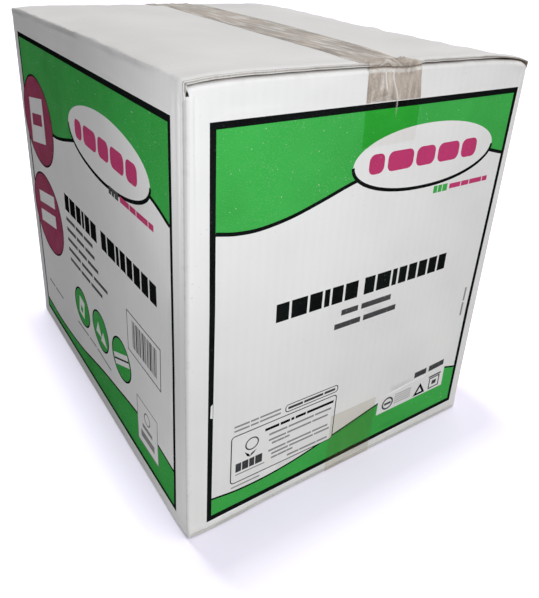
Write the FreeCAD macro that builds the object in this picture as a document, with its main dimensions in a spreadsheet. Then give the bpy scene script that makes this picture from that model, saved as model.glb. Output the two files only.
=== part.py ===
"""A sealed case of folded toilet paper: a slotted corrugated carton, full and taped shut at top and bottom.

Frame, in millimetres: +Z is up, +X runs to the right along the front, and +Y runs from the front to the
back. The origin is on the floor, under the middle of the carton.

The carton is one sheet of corrugated board, folded round at four upright folds and glued where its ends
meet, at the back right corner. The front and back carry the inner flaps. The left and right carry the outer
flaps, which close over the inner ones and meet at a seam that runs from the front to the back. A strip of
tape covers that seam above and below, and turns over the carton's edges on to the front and the back. The
carton is packed full and sealed, so the board and what it holds are one solid.
"""

import FreeCAD, Part
import math
import os
import Sketcher

DIMENSIONS = (
    ("case_width", 300.0, "carton, left to right, outside"),
    ("case_depth", 380.0, "carton, front to back, outside"),
    ("case_height", 350.0, "carton, over the closed flaps"),
    ("board_thickness", 3.2, "corrugated board, over both liners"),
    ("liner_thickness", 0.6, "flat paper on each side of the flutes"),
    ("corner_fold", 5.0, "outside radius of the upright folds"),
    ("inner_fold", 3.5, "outside radius of the inner flaps' folds"),
    ("outer_fold", 8.0, "outside radius of the outer flaps' folds"),
    ("seam_gap", 2.0, "between the outer flaps, where they meet"),
    ("slot_width", 11.0, "slot between two flaps, before folding"),
    ("slot_overrun", 2.5, "how far a slot runs past the flaps' folds"),
    ("flute_depth", 2.0, "how deep the hollow in a cut edge shows"),
    ("joint_groove", 2.0, "depth of the groove beside the glued joint"),
    ("tape_width", 50.0, "sealing tape"),
    ("tape_thickness", 0.2, "sealing tape, with its adhesive"),
    ("tape_offset", 8.0, "tape to the right of the carton's middle"),
    ("top_tape_front", 56.0, "top tape's end on the front, below the top"),
    ("top_tape_back", 60.0, "top tape's end on the back, below the top"),
    ("bottom_tape_front", 62.0, "bottom tape's end on the front, above the base"),
    ("bottom_tape_back", 58.0, "bottom tape's end on the back, above the base"),
)


class Length:
    """A length worked out from the sheet: its value now, and the expression that keeps it up to date."""

    def __init__(self, value, text):
        self.value = value
        self.text = text

    def combined(self, other, sign):
        other = other if isinstance(other, Length) else Length(float(other), str(other))
        value = {
            "+": self.value + other.value,
            "-": self.value - other.value,
            "*": self.value * other.value,
        }[sign]
        return Length(value, "(%s %s %s)" % (self.text, sign, other.text))

    def __add__(self, other):
        return self.combined(other, "+")

    def __sub__(self, other):
        return self.combined(other, "-")

    def __mul__(self, other):
        return self.combined(other, "*")

    def __neg__(self):
        return Length(-self.value, "-1 * %s" % self.text)


def fill_sheet(document):
    """Writes the driving dimensions into a sheet, and returns them by name."""
    sheet = document.addObject("Spreadsheet::Sheet", "sizes")
    lengths = {}
    for row, (name, value, note) in enumerate(DIMENSIONS, start=1):
        sheet.set("A%d" % row, name)
        sheet.set("B%d" % row, str(value))
        sheet.set("C%d" % row, note)
        sheet.setAlias("B%d" % row, name)
        lengths[name] = Length(value, "sizes.%s" % name)
    document.recompute()
    return lengths


# --- sketches and features, each bound to the sheet -----------------------------------------------------


def bind(feature, attribute, length):
    feature.setExpression(attribute, length.text)


def new_body(document, name, label):
    body = document.addObject("PartDesign::Body", name)
    body.Label = label
    return body


def origin_plane(body, role):
    return next(item for item in body.Origin.OriginFeatures if item.Role == role)


def new_sketch(body, name, role, offset=None):
    """A sketch on one of its body's own origin planes, or at a bound distance along that plane's normal."""
    sketch = body.newObject("Sketcher::SketchObject", name)
    sketch.AttachmentSupport = [(origin_plane(body, role), "")]
    sketch.MapMode = "FlatFace"
    if offset is not None:
        bind(sketch, "AttachmentOffset.Base.z", offset)
    return sketch


def pin(sketch, edge, end, point):
    """Holds one end of an edge at a point whose two coordinates are bound to the sheet."""
    for kind, length in zip(("DistanceX", "DistanceY"), point):
        number = sketch.addConstraint(Sketcher.Constraint(kind, -1, 1, edge, end, length.value))
        sketch.setExpression("Constraints[%d]" % number, length.text)


def corner_arc(start, end, centre, radius):
    """An arc of under half a turn, drawn anticlockwise, and whether that runs from its start to its end."""
    angles = [math.atan2(point.y - centre.y, point.x - centre.x) for point in (start, end)]
    turn = math.remainder(angles[1] - angles[0], math.tau)
    forward = turn > 0
    begin = angles[0] if forward else angles[1]
    circle = Part.Circle(centre, FreeCAD.Vector(0, 0, 1), radius)
    return Part.ArcOfCircle(circle, begin, begin + abs(turn)), forward


def draw_outline(sketch, stretches):
    """Draws one closed outline. Each stretch is its start, and for an arc its radius and its centre too."""
    first = sketch.GeometryCount
    count = len(stretches)
    points = [[FreeCAD.Vector(*(length.value for length in point), 0) for point in stretch[::2]]
              for stretch in stretches]
    ends = []
    for index, stretch in enumerate(stretches):
        start, end = points[index][0], points[(index + 1) % count][0]
        forward = True
        edge = Part.LineSegment(start, end)
        if len(stretch) > 1:
            edge, forward = corner_arc(start, end, points[index][1], stretch[1].value)
        sketch.addGeometry(edge, False)
        ends.append((1, 2) if forward else (2, 1))
    for index, stretch in enumerate(stretches):
        before = (index - 1) % count
        sketch.addConstraint(
            Sketcher.Constraint("Coincident", first + before, ends[before][1], first + index, ends[index][0])
        )
        pin(sketch, first + index, ends[index][0], stretch[0])
        if len(stretch) > 1:
            radius = Sketcher.Constraint("Radius", first + index, stretch[1].value)
            sketch.setExpression("Constraints[%d]" % sketch.addConstraint(radius), stretch[1].text)


def draw_rectangle(sketch, low, high):
    corners = (low, (high[0], low[1]), high, (low[0], high[1]))
    draw_outline(sketch, [(corner,) for corner in corners])


def new_pad(body, name, sketch, length, symmetric=False):
    pad = body.newObject("PartDesign::Pad", name)
    pad.Profile = sketch
    pad.SideType = "Symmetric" if symmetric else "One side"
    bind(pad, "Length", length)
    return pad


def new_pocket(body, name, sketch, length, symmetric=False, upward=False):
    """Cuts a sketch away, downward from its plane unless upward is set, or by half the length each way."""
    pocket = body.newObject("PartDesign::Pocket", name)
    pocket.Profile = sketch
    pocket.SideType = "Symmetric" if symmetric else "One side"
    pocket.Reversed = upward
    bind(pocket, "Length", length)
    return pocket


# --- the sub-parts --------------------------------------------------------------------------------------


class Carton:
    """The carton's own planes and edges, which its features and the tapes share."""

    def __init__(self, sizes):
        self.sizes = sizes
        self.left = -sizes["case_width"] * 0.5
        self.right = sizes["case_width"] * 0.5
        self.front = -sizes["case_depth"] * 0.5
        self.back = sizes["case_depth"] * 0.5
        self.base = sizes["tape_thickness"]
        self.top = self.base + sizes["case_height"]
        self.base_fold = self.base + sizes["board_thickness"]
        self.top_fold = self.top - sizes["board_thickness"]


def draw_panels(sketch, carton):
    """The four upright panels in plan. The right panel's cut edge stands beside the back panel's fold."""
    sizes = carton.sizes
    fold = sizes["corner_fold"]
    left, right, front, back = carton.left, carton.right, carton.front, carton.back
    edge = right - sizes["board_thickness"]
    groove = back - sizes["joint_groove"]
    draw_outline(
        sketch,
        [
            ((left, front + fold), fold, (left + fold, front + fold)),
            ((left + fold, front),),
            ((right - fold, front), fold, (right - fold, front + fold)),
            ((right, front + fold),),
            ((right, back),),
            ((edge, back),),
            ((edge, groove),),
            ((edge - sizes["joint_groove"] * 0.5, groove),),
            ((edge - fold, back),),
            ((left + fold, back), fold, (left + fold, back - fold)),
            ((left, back - fold),),
        ],
    )


def draw_slots(sketch, carton):
    """The slots at the four upright folds, each half in one panel and half in the next."""
    half = carton.sizes["slot_width"] * 0.5
    for low_x, high_x in ((carton.left, carton.left + half), (carton.right - half, carton.right)):
        for low_y, high_y in ((carton.front, carton.front + half), (carton.back - half, carton.back)):
            draw_rectangle(sketch, (low_x, low_y), (high_x, high_y))


def draw_fold_corners(sketch, sides, levels, radius):
    """What a fold rounds off: the space between each square corner and a quarter circle inside it."""
    for side, inward in zip(sides, (radius, -radius)):
        for level, away in zip(levels, (radius, -radius)):
            draw_outline(
                sketch,
                [
                    ((side, level),),
                    ((side, level + away), radius, (side + inward, level + away)),
                    ((side + inward, level),),
                ],
            )


def draw_outer_flaps(sketch, carton):
    """The outer flaps in front view: each turns in from its side panel and runs flat to the seam."""
    sizes = carton.sizes
    board = sizes["board_thickness"]
    fold = sizes["outer_fold"]
    for side, inward in ((carton.left, 1), (carton.right, -1)):
        for level, away in ((carton.base, 1), (carton.top, -1)):
            bend = (side + fold * inward, level + fold * away)
            seam = sizes["seam_gap"] * (-0.5 * inward)
            inner_fold = fold - board
            draw_outline(
                sketch,
                [
                    ((side, bend[1]), fold, bend),
                    ((bend[0], level),),
                    ((seam, level),),
                    ((seam, level + board * away),),
                    ((bend[0], level + board * away), inner_fold, bend),
                    ((side + board * inward, bend[1]),),
                ],
            )


def draw_flutes(sketch, carton):
    """The hollow between the liners, in side view, along the outer flaps' cut edges."""
    sizes = carton.sizes
    liner = sizes["liner_thickness"]
    depth = sizes["flute_depth"]
    levels = ((carton.base, carton.base_fold), (carton.top_fold, carton.top))
    for low_y, high_y in ((carton.front, carton.front + depth), (carton.back - depth, carton.back)):
        for low_z, high_z in levels:
            draw_rectangle(sketch, (low_y, low_z + liner), (high_y, high_z - liner))


def make_carton(document, carton):
    sizes = carton.sizes
    body = new_body(document, "carton_body", "carton")

    panels = new_sketch(body, "panels_in_plan", "XY_Plane", carton.base_fold)
    draw_panels(panels, carton)
    new_pad(body, "panels", panels, carton.top_fold - carton.base_fold)

    slot_depth = sizes["outer_fold"] - sizes["board_thickness"] + sizes["slot_overrun"]
    for name, level, upward in (("top", carton.top_fold, False), ("base", carton.base_fold, True)):
        slots = new_sketch(body, "%s_slots_in_plan" % name, "XY_Plane", level)
        draw_slots(slots, carton)
        new_pocket(body, "%s_slots" % name, slots, slot_depth, upward=upward)

    levels = (carton.base_fold, carton.top_fold)
    inner_folds = new_sketch(body, "inner_folds_from_the_side", "YZ_Plane")
    draw_fold_corners(inner_folds, (carton.front, carton.back), levels, sizes["inner_fold"])
    new_pocket(body, "inner_folds", inner_folds, sizes["case_width"] * 2, symmetric=True)

    outer_folds = new_sketch(body, "outer_folds_from_the_front", "XZ_Plane")
    sides = (carton.left, carton.right)
    draw_fold_corners(outer_folds, sides, levels, sizes["outer_fold"] - sizes["board_thickness"])
    new_pocket(body, "outer_folds", outer_folds, sizes["case_depth"] * 2, symmetric=True)

    flaps = new_sketch(body, "outer_flaps_from_the_front", "XZ_Plane")
    draw_outer_flaps(flaps, carton)
    new_pad(body, "outer_flaps", flaps, sizes["case_depth"], symmetric=True)

    flutes = new_sketch(body, "flutes_from_the_side", "YZ_Plane")
    draw_flutes(flutes, carton)
    new_pocket(
        body, "flutes", flutes, sizes["case_width"] - sizes["outer_fold"] * 2, symmetric=True
    )
    return body


def make_tape(document, carton, name, level, outward, front_end, back_end):
    """One strip over a seam: flat along the flaps, and turned over the edges on to the front and back."""
    film = carton.sizes["tape_thickness"]
    body = new_body(document, "%s_body" % name, name)
    strip = new_sketch(body, "%s_from_the_side" % name, "YZ_Plane")
    outside = level + film * outward
    draw_outline(
        strip,
        [
            ((carton.front, front_end),),
            ((carton.front, level),),
            ((carton.back, level),),
            ((carton.back, back_end),),
            ((carton.back + film, back_end),),
            ((carton.back + film, outside),),
            ((carton.front - film, outside),),
            ((carton.front - film, front_end),),
        ],
    )
    new_pad(body, "%s_strip" % name, strip, carton.sizes["tape_width"], symmetric=True)
    bind(body, "Placement.Base.x", carton.sizes["tape_offset"])
    return body


def make_parts(document, sizes):
    carton = Carton(sizes)
    top_ends = (carton.top - sizes["top_tape_front"], carton.top - sizes["top_tape_back"])
    bottom_ends = (carton.base + sizes["bottom_tape_front"], carton.base + sizes["bottom_tape_back"])
    return [
        make_carton(document, carton),
        make_tape(document, carton, "top_tape", carton.top, 1, *top_ends),
        make_tape(document, carton, "bottom_tape", carton.base, -1, *bottom_ends),
    ]


def check(document, parts):
    """Stops before anything is written if a feature failed or a sub-part isn't one sound solid."""
    for item in document.Objects:
        if "Invalid" in item.State or "Error" in item.State:
            raise RuntimeError("%s failed: %s" % (item.Name, item.State))
    for part in parts:
        shape = part.Shape
        if shape.isNull() or not shape.isValid() or len(shape.Solids) != 1:
            raise RuntimeError("%s isn't one sound solid" % part.Label)


def main():
    document = FreeCAD.newDocument("case_of_folded_toilet_paper")
    parts = make_parts(document, fill_sheet(document))
    document.recompute()
    check(document, parts)
    os.makedirs("parts", exist_ok=True)
    for part in parts:
        part.Shape.exportStep("parts/%s.step" % part.Label)
        box = part.Shape.BoundBox
        print(
            "%-12s %10.1f mm3   X %.1f to %.1f   Y %.1f to %.1f   Z %.1f to %.1f"
            % (part.Label, part.Shape.Volume, box.XMin, box.XMax, box.YMin, box.YMax, box.ZMin, box.ZMax)
        )


main()
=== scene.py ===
"""The looks of a sealed carton of folded toilet paper: printed corrugated board, taped over its seams.

The carton is built as the real one is, from one sheet of board that has two faces, cut edges, folds and
slots. Its print is laid on as flat fields of ink. Lengths here are in millimetres until a mesh is made.
"""

import math

import bmesh
import bpy
import numpy as np
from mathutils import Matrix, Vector, noise
from mathutils.geometry import delaunay_2d_cdt


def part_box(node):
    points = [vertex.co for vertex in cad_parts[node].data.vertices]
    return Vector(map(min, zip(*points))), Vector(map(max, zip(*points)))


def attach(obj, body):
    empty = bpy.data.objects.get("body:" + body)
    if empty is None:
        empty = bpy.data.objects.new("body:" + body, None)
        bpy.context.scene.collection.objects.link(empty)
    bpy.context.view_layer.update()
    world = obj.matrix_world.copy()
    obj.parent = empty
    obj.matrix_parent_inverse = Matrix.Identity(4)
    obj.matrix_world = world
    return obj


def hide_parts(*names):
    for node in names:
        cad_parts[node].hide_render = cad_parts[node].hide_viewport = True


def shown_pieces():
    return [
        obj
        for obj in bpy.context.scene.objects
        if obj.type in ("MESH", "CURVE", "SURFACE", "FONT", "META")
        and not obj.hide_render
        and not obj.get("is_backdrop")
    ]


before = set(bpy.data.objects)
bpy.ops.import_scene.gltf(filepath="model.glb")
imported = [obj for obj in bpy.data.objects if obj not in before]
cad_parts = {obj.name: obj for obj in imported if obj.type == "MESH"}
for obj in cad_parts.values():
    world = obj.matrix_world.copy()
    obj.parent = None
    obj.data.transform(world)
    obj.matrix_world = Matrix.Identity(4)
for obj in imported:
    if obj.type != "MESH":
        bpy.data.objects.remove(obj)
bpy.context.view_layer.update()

MM = 0.001
QUARTER = math.pi / 2

# The carton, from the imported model
LOWEST, HIGHEST = (np.round(np.array(corner) / MM, 3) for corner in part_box("carton"))
(LEFT, FRONT, BASE), (RIGHT, BACK, TOP) = LOWEST, HIGHEST
WIDTH, DEPTH = RIGHT - LEFT, BACK - FRONT
MIDDLE = (BASE + TOP) / 2

# The board
BOARD = 3.2  # thickness over both liners
LINER = 0.9
GROOVE = 0.6  # how deep the hollow between the liners shows in a cut edge
FLUTE = 7.4  # from one flute to the next
CORNER_FOLD = (1.6, 1.6)  # outside radii of an upright fold, along its two panels
SOFT_FOLD = (5.0, 0.8)  # the near left one, along the front and along the left panel
TAB_FOLD = 1.6  # outside radii of the other folds
INNER_FOLD = 3.5
OUTER_FOLD = 2.0
BASE_FOLD = 0.8  # the weight of the case presses its lower folds sharp
SEAM = 2.0  # between the outer flaps
SLOT = 4.2  # how far a slot cuts into an inner flap, at its two ends
SLOT_FAR = 1.8
SLOT_TOP = TOP - 9.8  # where the slots end, above and below
SLOT_BASE = 2.0
TAB = 30.0  # the glued tab, inside the back right corner
WINDOW = 7.0  # the print keeps this far from the upright folds
TAB_WINDOW = 2.0
TAB_SLOT = 0.8
WINDOW_BASE, WINDOW_TOP = 9.0, 336.0

# How the board is bent and worn
SWELL = 0.9  # how far the full case pushes its panels out
WAVES, FINE_WAVES = 0.5, 0.16  # heights of the board's own unevenness
PINCH = 6  # how far from its cut edges the board is pressed thin
PINCHED, CRUSHED = 0.38, 0.36  # share it is thinner by: there, and more at the crushed upper corner
RAGGED, LEANING = 0.5, 1.4  # an inner flap's edge at its slot: how uneven, how far it leans over
WEAR = ((2.6, 0.25), (3.0, 0.2), (2.5, 0.4))  # reach and strength along upright, upper and lower folds
# painted shade in the creases of the upper folds
CREASE_SHADE = 0.26  # how much darker an upper fold's creases are

# How the filled case has settled: how far its top falls at a side, and how far in that reaches
CROWN = 1.7  # how far the rest of the top stands up
FALL_RIGHT, REACH_RIGHT = (6.6, 3.4), 52  # falls from the front to the back
FALL_CORNER, REACH_CORNER = 5.4, 58  # the front's right end
FALL_LEFT, REACH_LEFT = (2.2, 4.8), (40, 60)
FALL_REAR, REACH_REAR = (5.6, 2.8), 60  # from left to right

# Where the rows of points lie: close together at the folds, and further apart over the flat board
BESIDE_FOLD = (0, 0.6, 1.2, SLOT_FAR, 2.4, 3, 3.6, SLOT, 4.8, 5.4, 6.2, WINDOW, 7.6, 8.4, 9.8, 11.5, 14, 20)
UP_PANEL = (SLOT_BASE, 6, WINDOW_BASE, 11, 14, *np.linspace(20, 330, 40), 333, WINDOW_TOP, 338, SLOT_TOP,
            342, 344, 346)
SPACING = 8  # along the rest of a panel
ROUND_FOLD = 9  # rows round a fold


def unit(x):
    return np.clip(x, 0, 1)


def rise(low, high, x):
    """0 up to low, rising smoothly to 1 at high."""
    t = unit((np.asarray(x, float) - low) / (high - low))
    return t * t * (3 - 2 * t)


def fade(low, high, x):
    """1 up to low, falling smoothly to 0 at high."""
    return 1 - rise(low, high, x)


def hill(x, middle, reach):
    """1 at the middle, falling smoothly to 0 at that distance from it."""
    return fade(0, reach, np.abs(x - middle))


def ripple(*coordinates):
    """Smooth noise from about -1 to 1, with features one unit across."""
    arrays = np.broadcast_arrays(*(np.asarray(c, float) for c in coordinates))
    flat = [noise.noise(Vector(p)) for p in zip(*(a.ravel() for a in arrays))]
    return np.array(flat).reshape(arrays[0].shape)


def lerp(a, b, t):
    return a + (b - a) * t


# --- the folded sheet ---


class Panel:
    """One upright panel with its two flaps, as a strip of the flat sheet.

    u runs along the panel from its left edge, seen from outside. v runs up it: on the upright part it is
    the height, and beyond the folds it goes on along the flaps.
    """

    def __init__(self, name, start, along, width, outer, left=CORNER_FOLD, right=CORNER_FOLD):
        self.name, self.width, self.outer = name, width, outer
        self.left, self.right = left, right
        self.start, self.along = np.array(start, float), np.array(along, float)
        self.inward = np.array((-along[1], along[0]), float)
        inset = 0.0 if outer else BOARD
        self.low, self.high = BASE + inset, TOP - inset
        self.radius = OUTER_FOLD if outer else INNER_FOLD
        self.fold_base, self.fold_top = self.low + BASE_FOLD, self.high - self.radius
        self.v_ends = (self.fold_base - self.flap_length(BASE_FOLD),
                       self.fold_top + self.flap_length(self.radius))
        self.fold_start = BOARD + TAB_FOLD if left == "tab" else 0.0
        self.u_start = BOARD - TAB if left == "tab" else 0.0
        self.flap_start = 0.0 if outer else self.fold_start + (TAB_SLOT if left == "tab" else SLOT)
        self.flap_end = width if outer else width - SLOT_FAR
        self.window = self.fold_start + (TAB_WINDOW if left == "tab" else WINDOW), width - WINDOW
        self.us, self.vs = self.levels_along(), self.levels_up()

    def levels_along(self):
        left, last = BESIDE_FOLD, BESIDE_FOLD[-1]
        if self.left == "tab":
            folded = np.linspace(BOARD, self.window[0], 7)
            left = [self.u_start, self.u_start + TAB / 2, *folded, 10, 14, last]
        middle = np.linspace(last, self.width - last, round((self.width - 2 * last) / SPACING) + 1)
        return np.unique(np.round([*left, *middle, *(self.width - np.array(BESIDE_FOLD))], 4))

    @staticmethod
    def flap_length(radius):
        """How far a flap reaches from the start of its fold to the seam."""
        return radius * QUARTER + (WIDTH - SEAM) / 2 - radius

    def levels_up(self):
        base_turn = np.linspace(0, BASE_FOLD * QUARTER, ROUND_FOLD)
        levels = [*UP_PANEL, *(BASE + BOARD + BASE_FOLD - base_turn)]
        for fold, radius, way in ((self.fold_top, self.radius, 1), (self.fold_base, BASE_FOLD, -1)):
            turn = radius * QUARTER
            flap = np.linspace(turn + 18, self.flap_length(radius), 16)
            past = [*np.linspace(0, turn, ROUND_FOLD), turn + 2, turn + 5, turn + 10, *flap]
            levels += [fold + way * length for length in past]
        return np.unique(np.round(levels, 4))

    def from_folds(self, u):
        """How far a place lies from the nearer upright fold."""
        return np.clip(np.minimum(u - self.fold_start, self.width - u), 0, None)

    def relief(self, u, v):
        """How far the board stands out from its flat shape."""
        edge = self.from_folds(u)
        inside = rise(0, 30, edge)
        upright = rise(self.low, self.low + 50, v) * fade(self.high - 50, self.high - 4, v)
        swell = np.sin(math.pi * unit(u / self.width)) * upright * SWELL
        soft = ripple(u / 70, v / 70, self.width + self.start[0]) * inside * WAVES
        soft += ripple(u / 23, v / 31, self.start[1]) * inside * FINE_WAVES
        walls = rise(BASE + 3, BASE + 15, v) * fade(TOP - 13, TOP - 8, v)
        out = swell + soft * (1 - 0.6 * (v < self.fold_base)) - self.pressed(u, v) * walls
        if self.outer:
            over = rise(self.fold_top, self.fold_top + 16, v)
            waves = 0.9 * ripple(v / 19, self.start[1], u / 90)
            waves = 0.8 + waves + 0.35 * ripple(v / 6, self.start[0], u / 50)
            out += over * fade(0, 20, edge) * waves
            out += self.creases(u, v) * inside
        else:
            crest = hill(v, self.fold_top + 3, 9)
            out += crest * inside * 0.55 * ripple(u / 17, self.start[0], 3)
            out += crest * rise(274, 286, u) * fade(290, 300, u) * SWELL
        for dent_u, dent_v, reach_u, reach_v, depth in DENTS.get(self.name, ()):
            dent = depth * hill(u, dent_u, reach_u) * hill(v, dent_v, reach_v)
            out -= dent * rise(0, 12, edge)
        return out

    def pressed(self, u, v):
        """How deep the board is pressed in: at the upright folds, and along lines scored beside them."""
        edge = self.from_folds(u)
        drift = 0.5 * np.sin(v / 61 + self.width)
        lines = (self.fold_start + 8, self.width - 4.6, self.width - 9.8)
        scored = sum(hill(u, at + drift, 1.4) for at in lines) * lerp(0.08, 0.6, rise(200, 335, v))
        beside = hill(edge, 1.6, 1.7) * lerp(0.12, 0.35, rise(150, 330, v))
        return beside + scored + fade(0, 10, edge) * 0.4

    def creases(self, u, v):
        """Small bumps and creases along an outer flap's fold, where the board was bent by hand."""
        along = 1.5 * ripple(u / 17, self.start[1], 2.7) + 0.9 * ripple(u / 34, self.start[0], 6.1) - 0.3
        return hill(v, self.fold_top + 1, 9) * along - 1.1 * self.sunk(u, v)

    def sunk(self, u, v):
        """Where an outer flap's fold is creased just below its edge."""
        line = self.fold_top - 2 + 1.6 * ripple(u / 26, 4.4, self.start[0])
        return hill(v, line, 3.2) * rise(-0.5, 0.3, ripple(u / 48, v / 14, self.start[0]))

    def pinched(self, u, v):
        """How far the board is pressed thin, as it is beside each edge that the slotting knives cut."""
        from_side = np.minimum(u - self.flap_start, self.flap_end - u)
        from_end = np.minimum(v - self.v_ends[0], self.v_ends[1] - v)
        beside = fade(0, PINCH, from_side) * np.maximum(rise(SLOT_TOP - 4, SLOT_TOP, v), v < SLOT_BASE)
        at_corner = (self.name == "right") * (u < 20) * fade(28, 52, v - self.fold_top)
        crushed = at_corner * rise(SLOT_TOP, SLOT_TOP + 3, v)
        return unit(np.maximum(beside, fade(0, PINCH, from_end))) * (PINCHED + CRUSHED * crushed)

    def ragged(self, u, v):
        """How far an inner flap's edge lies off its line beside its slot."""
        at_slot = (np.abs(u - self.flap_start) < 0.7) & (v > SLOT_TOP + 0.5) & (v < self.fold_top + 12)
        leaning = LEANING * rise(self.fold_top - 0.5, self.fold_top + 1, v)
        return at_slot * (RAGGED * np.sin(v * 3.1 + 1) - leaning)

    def turned_corners(self, u, v, depth):
        """The strip turned at its upright folds: place along, depth, and how far that holds."""
        side, inset = u, depth
        for end, from_end, out in ((self.left, u, 0.0), (self.right, self.width - u, self.width)):
            if end not in ("tab", "cut"):
                along, across = end
                turn = unit(1 - from_end / along) * QUARTER / 2
                turned = along - (along - depth) * np.sin(turn)
                side = np.where(turn > 0, np.abs(out - turned), side)
                inset = np.where(turn > 0, across - (across - depth) * np.cos(turn), inset)
        if self.left == "tab":
            turn, inner = unit((self.fold_start - u) / TAB_FOLD) * QUARTER, TAB_FOLD - depth
            side = np.where(turn > 0, self.fold_start - inner * np.sin(turn), side)
            on_tab = TAB_FOLD - inner * np.cos(turn) + np.clip(BOARD - u, 0, None)
            inset = np.where(turn > 0, on_tab, inset)
        weight = 1.0
        if self.outer:
            weight = fade(SLOT_TOP, SLOT_TOP + 5, v) * rise(-4, SLOT_BASE, v)
        return side, inset, weight

    def place(self, u, v, depth=0.0):
        """Points of the folded sheet, that deep under its outer face."""
        u, v, depth = np.broadcast_arrays(*(np.asarray(a, float) for a in (u, v, depth)))
        kept = 1 - self.pinched(u, v) * (depth >= 0)
        depth = BOARD / 2 + (depth - BOARD / 2) * kept - self.relief(u, v)
        upper = v > MIDDLE
        sign = np.where(upper, 1.0, -1.0)
        fold = np.where(upper, self.fold_top, self.fold_base)
        radius = np.where(upper, self.radius, BASE_FOLD)
        past = np.maximum(sign * (v - fold), 0)
        turn = np.minimum(past / radius, QUARTER)
        height = np.where(past > 0, fold, v) + sign * (radius - depth) * np.sin(turn)
        inset = radius * (1 - np.cos(turn)) + np.maximum(past - radius * QUARTER, 0)
        inset = inset + depth * np.cos(turn)
        # beside the lower slots the panel runs straight down to the floor
        straight = fade(0, 10, self.from_folds(u)) * rise(-4, SLOT_BASE, v) * (v < MIDDLE)
        height = lerp(height, v, straight)
        inset = lerp(inset, depth, straight)
        side, corner_inset, weight = self.turned_corners(u, v, depth)
        side = u + weight * (side - u)
        if not self.outer:
            side = side + self.ragged(u, v)
        inset = inset + weight * (corner_inset - depth)
        plan = self.start + side[..., None] * self.along + inset[..., None] * self.inward
        return settle(np.concatenate([plan, height[..., None]], axis=-1))

    def has(self, u, v):
        """Whether the sheet is there, for the middles of cells."""
        flap = (v > SLOT_TOP) | (v < SLOT_BASE)
        return ~flap | ((u > self.flap_start) & (u < self.flap_end))

    def printed(self, u, v):
        return (u > self.window[0]) & (u < self.window[1]) & (v > WINDOW_BASE) & (v < WINDOW_TOP)

    def wear(self, u, v):
        """Where the board is rubbed: along its folds."""
        over, under = v - self.fold_top - self.radius * 0.8, v - self.fold_base + BASE_FOLD
        lines = zip((self.from_folds(u) - 1, over, under), WEAR)
        return unit(sum(np.exp(-(off / reach) ** 2) * share for off, (reach, share) in lines))

    def shade(self, u, v):
        """Painted shade: how much darker the board is in the near upright fold and in the upper folds'
        creases.
        """
        up = rise(60, 320, v)
        beside, along_edge = lerp(0.15, 0.34, up), lerp(0.36, 0.5, up)
        if self.name == "front":
            return beside * unit(1 - u / lerp(2, 5, up))
        creased = CREASE_SHADE * self.sunk(u, v) * self.outer
        if self.name == "left":
            from_fold = (self.width - u) / 0.6
            near = lerp(beside, along_edge, unit(from_fold)) * unit(2 - from_fold)
            return near + creased * rise(20, 90, self.width - u)
        return creased

    def edge_runs(self):
        """The sheet's cut edges, as corners, with the sheet on the left-hand side."""
        w, first, last = self.width, self.flap_start, self.flap_end
        low, high = self.v_ends
        over = [(w, SLOT_TOP), (last, SLOT_TOP), (last, high), (first, high), (first, SLOT_TOP)]
        under = [(first, SLOT_BASE), (first, low), (last, low), (last, SLOT_BASE), (w, SLOT_BASE)]
        if self.right == "cut":
            return [under[:3] + over[2:]]
        if self.left == "tab":
            return [over + [(self.u_start, SLOT_TOP), (self.u_start, SLOT_BASE)] + under]
        if self.outer:
            return [over[1:], under[:4]]
        return [over + [(0, SLOT_TOP)], [(0, SLOT_BASE)] + under]


DENTS = {  # place along, height, reach along, reach up, depth
    "front": ((272, 110, 44, 130, 1.5), (34, 331, 22, 9, 0.5), (146, 338, 16, 12, 0.7),
              (96, 338, 20, 7, -0.5)),
    "left": ((300, 330, 60, 16, 0.7), (120, 336, 70, 14, 0.6), (190, 60, 60, 40, 0.7)),
    "right": ((110, 333, 50, 16, 0.8), (260, 90, 70, 50, 0.8)),
    "back": ((120, 70, 60, 40, 0.8), (230, 331, 40, 12, 0.6)),
}


def settle(points):
    """Bends the filled carton: its top falls away to its edges, and its near lower corner is crushed."""
    x, y, z = np.moveaxis(points, -1, 0)
    across, behind = x - LEFT, y - FRONT
    back, near = rise(-90, 190, y), fade(0, 45, behind)
    from_right = RIGHT - x
    corner = FALL_CORNER * unit(1 - from_right / REACH_CORNER) ** 2.4
    right = lerp(lerp(*FALL_RIGHT, back) * fade(0, REACH_RIGHT, from_right), corner, near)
    left = lerp(*FALL_LEFT, back) * fade(0, lerp(*REACH_LEFT, back), across)
    rear = lerp(*FALL_REAR, across / WIDTH) * fade(0, REACH_REAR, BACK - y)
    fall = (right ** 3 + left ** 3 + rear ** 3) ** (1 / 3)
    pressed = near * (1.0 + 1.2 * hill(across, 164, 20))
    lift = (CROWN - fall - pressed) * rise(328, 347, z)
    low = fade(2, 16, z)
    crushed = low * fade(0, 9, across) * fade(0, 26, behind)
    bulged = low * fade(0, 5, behind) * hill(across, 30, 60)
    moved = x + 0.8 * crushed, y + 0.5 * crushed - 1.3 * bulged, z + lift + 1.7 * crushed
    return np.stack(moved, axis=-1)


PANELS = {
    panel.name: panel
    for panel in (
        Panel("front", (LEFT, FRONT), (1, 0), WIDTH, outer=False, left=SOFT_FOLD),
        Panel("right", (RIGHT, FRONT), (0, 1), DEPTH, outer=True, right="cut"),
        Panel("back", (RIGHT, BACK), (-1, 0), WIDTH, outer=False, left="tab"),
        Panel("left", (LEFT, BACK), (0, -1), DEPTH, outer=True, right=SOFT_FOLD[::-1]),
    )
}


# --- shapes of ink, as (ink, outline) on a panel's u and v ---


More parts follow.
